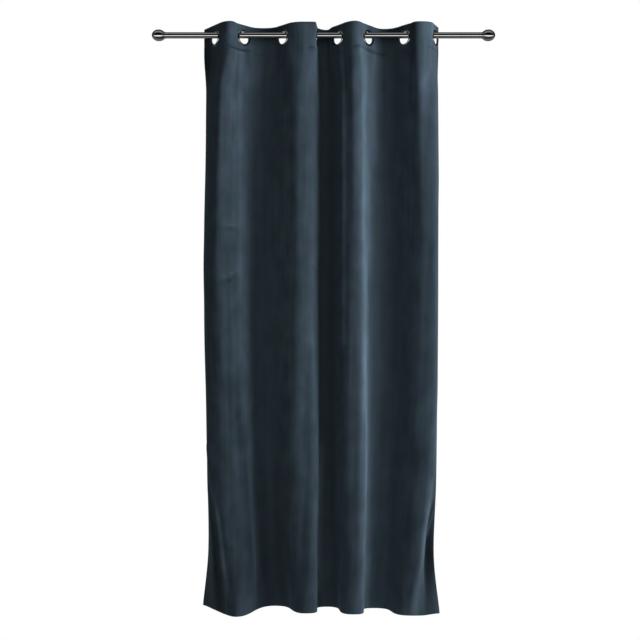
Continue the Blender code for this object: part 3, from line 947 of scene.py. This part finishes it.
def velvet_pile(finish):
    """Polyester velvet, cut pile: short upright fibres, dyed navy. The pile swallows light
    seen straight on and catches it on its tips at a slant, so the sheen carries the folds.
    Light and shade along the folds, creases and seams are also painted into its colour."""
    made, tree = new_material("polyester_velvet_pile")
    chart = add_node(tree, "ShaderNodeUVMap", uv_map="cloth")
    patches = cloth_noise(tree, chart, 0.055, 0.095)
    streaks = cloth_noise(tree, chart, 0.018, 0.420, detail=1.5)
    casts = cloth_noise(tree, chart, 0.045, 0.110, detail=1.0)
    # The pile's tufts are 0.4 mm apart, drawn 1.2 mm apart so that they show.
    tufts = cloth_noise(tree, chart, 0.0012, 0.0015, detail=1.0)
    cast = add_node(tree, "ShaderNodeMapRange", {
        "Value": casts.outputs["Fac"], "From Min": 0.35, "From Max": 0.65})
    dyed = add_node(tree, "ShaderNodeMix", {
        0: cast.outputs["Result"], 6: rgba(finish.pile), 7: rgba(finish.pile_cool)},
        data_type="RGBA")
    lean = add_node(tree, "ShaderNodeMix", {
        0: 0.35, 2: patches.outputs["Fac"], 3: streaks.outputs["Fac"]}, data_type="FLOAT")
    lean_tone = add_node(tree, "ShaderNodeMapRange", {
        "Value": lean.outputs[0], "From Min": 0.35, "From Max": 0.65, "To Min": 0.78,
        "To Max": 1.22})
    # Hands reach the fronts of the folds, so the pile leans less unevenly behind them.
    place = add_node(tree, "ShaderNodeTexCoord")
    depth = add_node(tree, "ShaderNodeSeparateXYZ", {"Vector": place.outputs["Object"]})
    handled = add_node(tree, "ShaderNodeMapRange", {
        "Value": depth.outputs["Y"], "From Min": -0.02, "From Max": 0.03, "To Min": 1.0,
        "To Max": 0.5})
    handled_tone = add_node(tree, "ShaderNodeMix", {
        0: handled.outputs["Result"], 2: 1.0, 3: lean_tone.outputs["Result"]},
        data_type="FLOAT")
    tuft_tone = add_node(tree, "ShaderNodeMapRange", {
        "Value": tufts.outputs["Fac"], "To Min": 0.82, "To Max": 1.18})
    # The light and shade painted into the pile's colour along the folds, creases and seams scales
    # its tone.
    brushed = add_node(tree, "ShaderNodeAttribute", attribute_name="brushed")
    painted_shading_tone = add_node(tree, "ShaderNodeMath", {
        0: brushed.outputs["Fac"], 1: 1.0}, operation="ADD")
    pile_tone = add_node(tree, "ShaderNodeMath", {
        0: tuft_tone.outputs["Result"], 1: handled_tone.outputs[0]}, operation="MULTIPLY")
    tone = add_node(tree, "ShaderNodeMath", {
        0: pile_tone.outputs[0], 1: painted_shading_tone.outputs[0]}, operation="MULTIPLY")
    shaded = add_node(tree, "ShaderNodeMix", {
        0: 1.0, 6: dyed.outputs[2], 7: tone.outputs[0]}, data_type="RGBA",
        blend_type="MULTIPLY")
    drift = add_node(tree, "ShaderNodeBump", {
        "Height": streaks.outputs["Fac"], "Strength": 0.5, "Distance": 0.0008})
    fuzz = add_node(tree, "ShaderNodeBump", {
        "Height": tufts.outputs["Fac"], "Strength": 0.6, "Distance": 0.0003,
        "Normal": drift.outputs["Normal"]})
    finish_material(tree, {
        "Base Color": shaded.outputs[2], "Normal": fuzz.outputs["Normal"], "Roughness": 0.9,
        "Specular IOR Level": 0.0, "Sheen Weight": 0.26, "Sheen Roughness": 0.42,
        "Sheen Tint": rgba(finish.sheen)})
    return made


def woven_back(finish):
    """Polyester plain weave, the velvet's ground: flat, matt and a little paler than the pile,
    with the threads' small squares."""
    made, tree = new_material("polyester_plain_weave")
    chart = add_node(tree, "ShaderNodeUVMap", uv_map="cloth")
    # The threads are 0.35 mm apart, drawn 1.4 mm apart so that they show. A wave texture of
    # scale 1 repeats every 2 pi / 20.
    pitch = 0.0014
    warp, weft = [
        add_node(tree, "ShaderNodeTexWave", {
            "Vector": chart.outputs["UV"], "Scale": 2 * math.pi / (20 * pitch),
            "Distortion": 0.6, "Detail": 1.0}, bands_direction=axis)
        for axis in ("X", "Y")
    ]
    weave = add_node(tree, "ShaderNodeMath", {
        0: warp.outputs["Fac"], 1: weft.outputs["Fac"]}, operation="MULTIPLY")
    slubs = cloth_noise(tree, chart, 0.120, 0.006)
    tone = add_node(tree, "ShaderNodeMix", {
        0: slubs.outputs["Fac"], 6: rgba(finish.ground, 0.75), 7: rgba(finish.ground, 1.25)},
        data_type="RGBA")
    bump = add_node(tree, "ShaderNodeBump", {
        "Height": weave.outputs[0], "Strength": 0.5, "Distance": 0.0003})
    finish_material(tree, {
        "Base Color": tone.outputs[2], "Normal": bump.outputs["Normal"], "Roughness": 0.82,
        "Specular IOR Level": 0.3})
    return made


def sewing_thread(finish):
    """Spun polyester sewing thread: matt, with a fine twist."""
    made, tree = new_material("spun_polyester_thread")
    place = add_node(tree, "ShaderNodeTexCoord")
    # The twist is 0.4 mm long.
    twist = add_node(tree, "ShaderNodeTexNoise", {
        "Vector": place.outputs["Object"], "Scale": 2500.0, "Detail": 1.0})
    tone = add_node(tree, "ShaderNodeMix", {
        0: twist.outputs["Fac"], 6: rgba(finish.thread, 0.7), 7: rgba(finish.thread, 1.3)},
        data_type="RGBA")
    bump = add_node(tree, "ShaderNodeBump", {
        "Height": twist.outputs["Fac"], "Strength": 0.4, "Distance": 0.0001})
    finish_material(tree, {
        "Base Color": tone.outputs[2], "Normal": bump.outputs["Normal"], "Roughness": 0.7})
    return made


def plated_metal(name, tint, roughness, smudge):
    """A polished plated metal: it mirrors the room, a little softer where it was handled."""
    made, tree = new_material(name)
    place = add_node(tree, "ShaderNodeTexCoord")
    # Handling marks, about 26 mm across
    marks = add_node(tree, "ShaderNodeTexNoise", {
        "Vector": place.outputs["Object"], "Scale": 38.0, "Detail": 4.0})
    soft = add_node(tree, "ShaderNodeMapRange", {
        "Value": marks.outputs["Fac"], "From Min": 0.35, "From Max": 0.70,
        "To Min": roughness, "To Max": roughness + smudge})
    tone = add_node(tree, "ShaderNodeMix", {
        0: marks.outputs["Fac"], 6: rgba(tint, 0.93), 7: rgba(tint)}, data_type="RGBA")
    # The polish's fine grain, 0.2 mm across
    grain = add_node(tree, "ShaderNodeTexNoise", {
        "Vector": place.outputs["Object"], "Scale": 5000.0, "Detail": 0.0})
    bump = add_node(tree, "ShaderNodeBump", {
        "Height": grain.outputs["Fac"], "Strength": 0.02, "Distance": 0.00001})
    finish_material(tree, {
        "Base Color": tone.outputs[2], "Roughness": soft.outputs["Result"],
        "Normal": bump.outputs["Normal"], "Metallic": 1.0})
    return made


def rod_metal(finish):
    """Black nickel plate on a steel tube, polished: a dark mirror."""
    return plated_metal("polished_black_nickel", finish.rod, 0.06, 0.02)


def eyelet_metal(finish):
    """Nickel plate on pressed steel: paler than the rod, and a little softer."""
    return plated_metal("nickel_plated_steel", finish.eyelet, 0.16, 0.07)


def seen_by(tree, lit, mirrored, white):
    """A backdrop that lights as one shader, shows in polished metal as another, and is plain
    white to the camera."""
    ray = add_node(tree, "ShaderNodeLightPath")
    inner = add_node(tree, "ShaderNodeMixShader", {
        0: ray.outputs["Is Glossy Ray"], 1: lit, 2: mirrored})
    return add_node(tree, "ShaderNodeMixShader", {
        0: ray.outputs["Is Camera Ray"], 1: inner.outputs[0], 2: white}).outputs[0]


# ---------------------------------------------------------------- pieces

def build_cloth(cloth, metal, finish):
    """The velvet panel in its folds, with a hole at each eyelet."""
    grid = ClothGrid(cloth, metal)
    kept = punch_holes(grid, metal)
    drape = new_piece("velvet_drape", sheet_mesh("velvet_drape", grid, kept))
    drape.data.materials.append(velvet_pile(finish))
    drape.data.materials.append(woven_back(finish))
    spots = vertex_places(drape)
    for seen, packed in zip((spots.min(0), spots.max(0)), DRAPE_BOX):
        if np.abs(seen - np.array(packed)).max() > MOST_STRAY:
            raise RuntimeError("the sheet has left the packed drape: its levels differ")
    return drape


def model_stitch(cloth):
    """One stitch, lying along X: a grain of thread whose ends dip into the cloth."""
    stitch = start_piece(bpy.ops.mesh.primitive_uv_sphere_add, segments=STITCH_STEPS,
                         ring_count=STITCH_STEPS, radius=cloth.thread / 2,
                         rotation=(0.0, math.pi / 2, 0.0))
    stretch = cloth.stitch / cloth.thread
    bpy.ops.mesh.select_all(action="SELECT")
    bpy.ops.transform.resize(value=(stretch, 1.0, 1.0))
    pick(stitch, "VERT", lambda vertex: abs(vertex.co.z) > STITCH_END * cloth.stitch)
    bpy.ops.transform.translate(value=(0.0, 0.0, -STITCH_DIP * cloth.thread))
    return close_piece(stitch, "stitch", smooth_angle=80)


def seam_places(cloth, grid):
    """Where each stitch lies: its middle, the way it runs and the way it faces."""
    left, right = SEAM_END, cloth.width - SEAM_END
    left_hem = cloth.side_hem - SEAM_INSET
    right_hem = cloth.width - cloth.side_hem + SEAM_INSET
    heading = cloth.heading - SEAM_INSET
    hem = cloth.drop - cloth.hem + SEAM_INSET
    seams = [
        ((left, heading), (right, heading), "front"),
        ((left, heading), (right, heading), "back"),
        ((left, hem), (right, hem), "back"),
        ((left_hem, cloth.heading), (left_hem, hem), "back"),
        ((right_hem, cloth.heading), (right_hem, hem), "back"),
    ]
    places = []
    for start, end, face in seams:
        start, end = np.array(start), np.array(end)
        count = int(np.linalg.norm(end - start) / cloth.pitch)
        runs_down = end[1] > start[1]
        for i in range(count):
            u, v = start + (end - start) * (i + 0.5) / count
            run = grid.at(grid.down if runs_down else grid.across, u, v)
            normal = grid.at(grid.normal, u, v)
            spot = grid.at(grid.front if face == "front" else grid.back, u, v)
            places.append((spot, run, normal if face == "front" else -normal))
    return places


def build_stitching(cloth, metal, finish):
    """All the stitches as one joined mesh, copied from one that is modelled."""
    stitch = model_stitch(cloth)
    grid = ClothGrid(cloth, metal)
    spots = vertex_places(stitch)
    loops = [tuple(face.vertices) for face in stitch.data.polygons]
    points, faces = [], []
    for spot, run, up in seam_places(cloth, grid):
        run = run / np.linalg.norm(run)
        up = up - (up @ run) * run
        up /= np.linalg.norm(up)
        turn = np.stack([run, np.cross(up, run), up])
        first = len(points) * len(spots)
        points.append(spots @ turn + spot)
        faces.extend(tuple(first + corner for corner in loop) for loop in loops)
    mesh = bpy.data.meshes.new("stitching")
    mesh.from_pydata(np.concatenate(points).tolist(), [], faces)
    mesh.shade_smooth()
    stitching = new_piece("stitching", mesh)
    mesh.materials.append(sewing_thread(finish))
    bpy.data.objects.remove(stitch, do_unlink=True)
    return stitching


def ring_outline(metal):
    """The section of an eyelet ring as (radius, height) points, once round."""
    bore, rim = metal.bore / 2, metal.flange / 2
    face = [(rim + point.inward * (bore - rim), metal.slot + point.rise * metal.crown)
            for point in DOME]
    half = [(bore + metal.tube, metal.slot), (rim - RIM_ROUND, metal.slot)] + face
    return half + [(radius, -height) for radius, height in half[::-1]]


def model_ring(metal):
    """An eyelet ring about Z: its section, spun round and smoothed."""
    outline = ring_outline(metal)
    ring = start_piece(bpy.ops.mesh.primitive_circle_add, vertices=len(outline),
                       radius=metal.crown)
    shape = bmesh.from_edit_mesh(ring.data)
    for vertex, (radius, height) in zip(shape.verts, outline):
        vertex.co = (radius, 0.0, height)
    bmesh.update_edit_mesh(ring.data)
    bpy.ops.mesh.select_all(action="SELECT")
    bpy.ops.mesh.spin(steps=RING_STEPS, angle=2 * math.pi, center=(0.0, 0.0, 0.0),
                      axis=(0.0, 0.0, 1.0))
    bpy.ops.mesh.select_all(action="SELECT")
    bpy.ops.mesh.remove_doubles(threshold=MERGED)
    bpy.ops.mesh.normals_make_consistent(inside=False)
    close_piece(ring, "eyelet_ring", smooth_angle=70)
    smooth = ring.modifiers.new("round", "SUBSURF")
    smooth.levels = 1
    bpy.ops.object.modifier_apply(modifier=smooth.name)
    return ring


def build_eyelets(metal, finish):
    """A ring in each hole, copied from one that is modelled, with its node's name."""
    ring = model_ring(metal)
    plate = eyelet_metal(finish)
    eyelets = []
    for eyelet, centre in zip(EYELETS, eyelet_centres()):
        place = (Matrix.Translation(centre) @ Matrix.Rotation(math.radians(eyelet.way), 4, "Z")
                 @ Matrix.Rotation(math.pi / 2, 4, "X"))
        item = copy_piece(ring, "ring_" + eyelet.name, place)
        item.data.materials.append(plate)
        eyelets.append((item, eyelet.name))
    bpy.data.objects.remove(ring, do_unlink=True)
    return eyelets


def build_rod(metal, finish):
    """The rod: a tube whose two ends are opened and bevelled."""
    end = metal.rod_length / 2
    rod = start_piece(bpy.ops.mesh.primitive_cylinder_add, vertices=TURNED_STEPS,
                      radius=metal.rod / 2, depth=metal.rod_length,
                      location=sum(ROD_BOX, Vector()) / 2, rotation=(0.0, math.pi / 2, 0.0))
    hollow = 2 * metal.spigot
    for side in (-1, 1):
        pick(rod, "FACE", lambda face: side * face.normal.z > 0.9)
        bpy.ops.mesh.inset(thickness=metal.wall)
        bpy.ops.mesh.extrude_region_move(
            TRANSFORM_OT_translate={"value": (-side * hollow, 0.0, 0.0)})
    pick(rod, "EDGE", lambda edge: all(
        abs(abs(v.co.z) - end) < NEAR and math.hypot(v.co.x, v.co.y) > metal.rod / 2 - NEAR
        for v in edge.verts))
    bpy.ops.mesh.bevel(offset=ROD_ROUND, segments=ROUND_STEPS)
    close_piece(rod, "curtain_rod")
    rod.data.materials.append(rod_metal(finish))
    return rod


def model_finial(metal):
    """A slightly long ball on its collar about Z, with the spigot below; the ball's centre is
    the origin."""
    ball, collar = metal.ball / 2, metal.collar / 2
    seat = -metal.ball_length / 2 * math.sqrt(1.0 - (collar / ball) ** 2)
    spigot = metal.rod / 2 - metal.wall - metal.gap
    finial = start_piece(bpy.ops.mesh.primitive_uv_sphere_add, segments=TURNED_STEPS,
                         ring_count=BALL_RINGS, radius=ball)
    bpy.ops.mesh.select_all(action="SELECT")
    bpy.ops.transform.resize(value=(1.0, 1.0, metal.ball_length / metal.ball))
    bpy.ops.mesh.bisect(plane_co=(0.0, 0.0, seat), plane_no=(0.0, 0.0, 1.0),
                        use_fill=True, clear_inner=True)
    pick(finial, "FACE", lambda face: (
        face.normal.z < -0.99 and face.calc_center_median().z < seat + NEAR))
    bpy.ops.mesh.extrude_region_move(
        TRANSFORM_OT_translate={"value": (0.0, 0.0, -metal.collar_length)})
    bpy.ops.mesh.inset(thickness=collar - spigot)
    bpy.ops.mesh.extrude_region_move(
        TRANSFORM_OT_translate={"value": (0.0, 0.0, -metal.spigot)})
    base = seat - metal.collar_length
    pick(finial, "EDGE", lambda edge: all(
        abs(v.co.z - base) < NEAR and math.hypot(v.co.x, v.co.y) > collar - NEAR
        for v in edge.verts))
    bpy.ops.mesh.bevel(offset=COLLAR_ROUND, segments=ROUND_STEPS)
    close_piece(finial, "finial")
    return finial, metal.collar_length - seat


def build_finials(metal, finish):
    """A finial in each end of the rod, copied from one that is modelled, with its node's name."""
    pattern, reach = model_finial(metal)
    plate = bpy.data.materials.get("polished_black_nickel") or rod_metal(finish)
    finials = []
    for side, node in ((-1, "finial_left"), (1, "finial_right")):
        centre = side * (metal.rod_length / 2 + metal.gap + reach)
        place = (Matrix.Translation((centre, 0.0, 0.0))
                 @ Matrix.Rotation(side * math.pi / 2, 4, "Y"))
        item = copy_piece(pattern, "ball_" + node, place)
        item.data.materials.append(plate)
        finials.append((item, node))
    bpy.data.objects.remove(pattern, do_unlink=True)
    return finials


# ---------------------------------------------------------------- the stage

def build_floor(studio, finish):
    """A wide pale floor, a little below the hem."""
    height = DRAPE_BOX[0].z - studio.floor_gap
    floor = start_piece(bpy.ops.mesh.primitive_plane_add, size=60.0, location=(0, 0, height))
    close_piece(floor, "studio_floor")
    made, tree = new_material("painted_floor")
    place = add_node(tree, "ShaderNodeTexCoord")
    grain = add_node(tree, "ShaderNodeTexNoise", {
        "Vector": place.outputs["Object"], "Scale": 6.0, "Detail": 4.0})
    tone = add_node(tree, "ShaderNodeMix", {
        0: grain.outputs["Fac"], 6: rgba(finish.floor, 0.97), 7: rgba(finish.floor)},
        data_type="RGBA")
    paint = add_node(tree, "ShaderNodeBsdfPrincipled", {
        "Base Color": tone.outputs[2], "Roughness": 0.8})
    # The metal mirrors a bright strip of floor in front, then dark floor, and grey behind.
    depth = add_node(tree, "ShaderNodeSeparateXYZ", {
        "Vector": place.outputs["Object"]}).outputs["Y"]
    strip_starts = add_node(tree, "ShaderNodeMapRange", {
        "Value": depth, "From Min": -10.0, "From Max": -7.5})
    strip_ends = add_node(tree, "ShaderNodeMapRange", {
        "Value": depth, "From Min": -3.3, "From Max": -3.0, "To Min": 1.0, "To Max": 0.0})
    strip = add_node(tree, "ShaderNodeMath", {
        0: strip_starts.outputs["Result"], 1: strip_ends.outputs["Result"]},
        operation="MULTIPLY")
    rest = add_node(tree, "ShaderNodeMapRange", {
        "Value": depth, "From Min": -0.4, "From Max": 0.4, "To Min": 0.06, "To Max": 0.24})
    glow = add_node(tree, "ShaderNodeMath", {
        0: strip.outputs[0], 1: studio.apron, 2: rest.outputs["Result"]},
        operation="MULTIPLY_ADD")
    mirrored = add_node(tree, "ShaderNodeEmission", {"Strength": glow.outputs[0]})
    white = add_node(tree, "ShaderNodeEmission", {"Color": WHITE})
    add_node(tree, "ShaderNodeOutputMaterial", {"Surface": seen_by(
        tree, paint.outputs["BSDF"], mirrored.outputs[0], white.outputs[0])})
    floor.data.materials.append(made)


def build_sky(studio):
    """A dark studio whose ceiling is pale in front of the rod and over it, and fades to its
    sides; the camera sees plain white."""
    world = bpy.data.worlds.new("studio")
    world.use_nodes = True
    tree = world.node_tree
    tree.nodes.clear()
    lit = add_node(tree, "ShaderNodeBackground", {"Color": WHITE, "Strength": studio.room})
    white = add_node(tree, "ShaderNodeBackground", {"Color": WHITE, "Strength": 1.0})
    place = add_node(tree, "ShaderNodeTexCoord")
    way = add_node(tree, "ShaderNodeSeparateXYZ", {"Vector": place.outputs["Generated"]})
    forward = add_node(tree, "ShaderNodeMath", {
        0: way.outputs["Y"], 1: -1.0}, operation="MULTIPLY")
    # 0 level in front, then up over the ceiling to pi level behind
    rise = add_node(tree, "ShaderNodeMath", {
        0: way.outputs["Z"], 1: forward.outputs[0]}, operation="ARCTAN2")
    starts = add_node(tree, "ShaderNodeMapRange", {
        "Value": rise.outputs[0], "From Min": math.radians(40), "From Max": math.radians(49)})
    ends = add_node(tree, "ShaderNodeMapRange", {
        "Value": rise.outputs[0], "From Min": math.radians(75), "From Max": math.radians(96),
        "To Min": studio.ceiling, "To Max": 0.06})
    overhead = add_node(tree, "ShaderNodeMath", {
        0: starts.outputs["Result"], 1: ends.outputs["Result"]}, operation="MULTIPLY")
    aside = add_node(tree, "ShaderNodeMath", {0: way.outputs["X"]}, operation="ABSOLUTE")
    sides = add_node(tree, "ShaderNodeMapRange", {
        "Value": aside.outputs[0], "From Min": 0.55, "From Max": 0.85, "To Min": 1.0,
        "To Max": 0.25})
    pale = add_node(tree, "ShaderNodeMath", {
        0: overhead.outputs[0], 1: sides.outputs["Result"]}, operation="MULTIPLY")
    mirrored = add_node(tree, "ShaderNodeBackground", {"Strength": pale.outputs[0]})
    add_node(tree, "ShaderNodeOutputWorld", {"Surface": seen_by(
        tree, lit.outputs[0], mirrored.outputs[0], white.outputs[0])})
    bpy.context.scene.world = world


def build_lights(studio):
    """Four area lights that look at the drape's middle. Each one's power is the studio's
    property of its name."""
    middle = (DRAPE_BOX[0] + DRAPE_BOX[1]) / 2
    plain, warm = (1.0, 1.0, 1.0), (1.0, 0.98, 0.92)
    lights = (
        Light("key", studio.key_angle, math.radians(11), 4.5, 1.9, 4.0, plain),
        Light("fill", math.radians(10), math.radians(4), 5.0, 3.0, 3.0, warm),
        Light("side", math.radians(-35), 0.0, 4.5, 1.5, 4.0, plain),
        Light("rear", math.pi - 0.2, math.radians(6), 5.0, 1.5, 3.0, plain),
    )
    for light in lights:
        data = bpy.data.lights.new(light.name + "_light", "AREA")
        data.shape = "RECTANGLE"
        data.size = light.width
        data.size_y = light.height
        data.energy = getattr(studio, light.name)
        data.color = light.tone
        item = new_piece(data.name, data)
        item.visible_camera = False
        item.visible_glossy = False
        flat = light.distance * math.cos(light.raised)
        item.location = middle + Vector((
            flat * math.sin(light.aside), -flat * math.cos(light.aside),
            light.distance * math.sin(light.raised)))
        item.rotation_euler = (middle - item.location).to_track_quat("-Z", "Y").to_euler()


def build_camera():
    """A level camera at the drape's mid-height, 3.8 m in front of the rod."""
    data = bpy.data.cameras.new("camera")
    data.lens = 52.3125
    data.sensor_width = 36.0
    camera = new_piece("camera", data)
    camera.location = (-0.01435, -3.813, -1.167)
    camera.rotation_euler = (math.pi / 2, 0.0, 0.0)
    bpy.context.scene.camera = camera


# ---------------------------------------------------------------- operators

class DRAPE_OT_hang_cloth(Operator):
    """Model the velvet panel in its folds."""

    bl_idname = "drape.hang_cloth"
    bl_label = "Hang cloth"

    def execute(self, context):
        scene = context.scene
        drape = build_cloth(scene.drape_cloth, scene.drape_metal, scene.drape_finish)
        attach(drape, BODY)
        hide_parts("drape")
        return {"FINISHED"}


class DRAPE_OT_sew_seams(Operator):
    """Sew the heading, the hem and the side hems."""

    bl_idname = "drape.sew_seams"
    bl_label = "Sew seams"

    def execute(self, context):
        scene = context.scene
        stitching = build_stitching(scene.drape_cloth, scene.drape_metal, scene.drape_finish)
        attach(stitching, BODY)
        return {"FINISHED"}


class DRAPE_OT_fit_eyelets(Operator):
    """Model one eyelet ring, and set a copy in each hole of the heading."""

    bl_idname = "drape.fit_eyelets"
    bl_label = "Fit eyelets"

    def execute(self, context):
        scene = context.scene
        for item, node in build_eyelets(scene.drape_metal, scene.drape_finish):
            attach(item, BODY)
            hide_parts(node)
        return {"FINISHED"}


class DRAPE_OT_fit_rod(Operator):
    """Model the rod's tube."""

    bl_idname = "drape.fit_rod"
    bl_label = "Fit rod"

    def execute(self, context):
        rod = build_rod(context.scene.drape_metal, context.scene.drape_finish)
        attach(rod, BODY)
        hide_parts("rod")
        return {"FINISHED"}


class DRAPE_OT_fit_finials(Operator):
    """Model one ball finial, and set a copy in each end of the rod."""

    bl_idname = "drape.fit_finials"
    bl_label = "Fit finials"

    def execute(self, context):
        scene = context.scene
        for item, node in build_finials(scene.drape_metal, scene.drape_finish):
            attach(item, BODY)
            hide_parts(node)
        return {"FINISHED"}


class DRAPE_OT_set_stage(Operator):
    """Set the floor, the studio's light and the camera."""

    bl_idname = "drape.set_stage"
    bl_label = "Set stage"

    def execute(self, context):
        scene = context.scene
        build_floor(scene.drape_studio, scene.drape_finish)
        build_sky(scene.drape_studio)
        build_lights(scene.drape_studio)
        build_camera()
        scene.view_settings.view_transform = "Standard"
        return {"FINISHED"}


class DRAPE_PT_sidebar(Panel):
    """The drape's sizes, colours and building steps."""

    bl_label = "Velvet eyelet drape"
    bl_idname = "DRAPE_PT_sidebar"
    bl_space_type = "VIEW_3D"
    bl_region_type = "UI"
    bl_category = "Drape"

    def draw(self, context):
        for name in GROUPS:
            box = self.layout.box()
            box.label(text=name.replace("_", " ").capitalize())
            group = getattr(context.scene, name)
            for prop in type(group).__annotations__:
                box.prop(group, prop)
        for step in STEPS:
            self.layout.operator(step.bl_idname)


GROUPS = {
    "drape_cloth": DrapeCloth,
    "drape_metal": DrapeMetal,
    "drape_finish": DrapeFinish,
    "drape_studio": DrapeStudio,
}

STEPS = (
    DRAPE_OT_fit_rod,
    DRAPE_OT_fit_finials,
    DRAPE_OT_fit_eyelets,
    DRAPE_OT_hang_cloth,
    DRAPE_OT_sew_seams,
    DRAPE_OT_set_stage,
)


def register():
    for group in GROUPS.values():
        bpy.utils.register_class(group)
    for name, group in GROUPS.items():
        setattr(bpy.types.Scene, name, PointerProperty(type=group))
    for item in STEPS + (DRAPE_PT_sidebar,):
        bpy.utils.register_class(item)


def unregister():
    for item in (DRAPE_PT_sidebar,) + STEPS[::-1]:
        bpy.utils.unregister_class(item)
    for name in GROUPS:
        delattr(bpy.types.Scene, name)
    for group in GROUPS.values():
        bpy.utils.unregister_class(group)


def main():
    register()
    bpy.ops.drape.fit_rod()
    bpy.ops.drape.fit_finials()
    bpy.ops.drape.fit_eyelets()
    bpy.ops.drape.hang_cloth()
    bpy.ops.drape.sew_seams()
    bpy.ops.drape.set_stage()


if __name__ == "__main__":
    main()
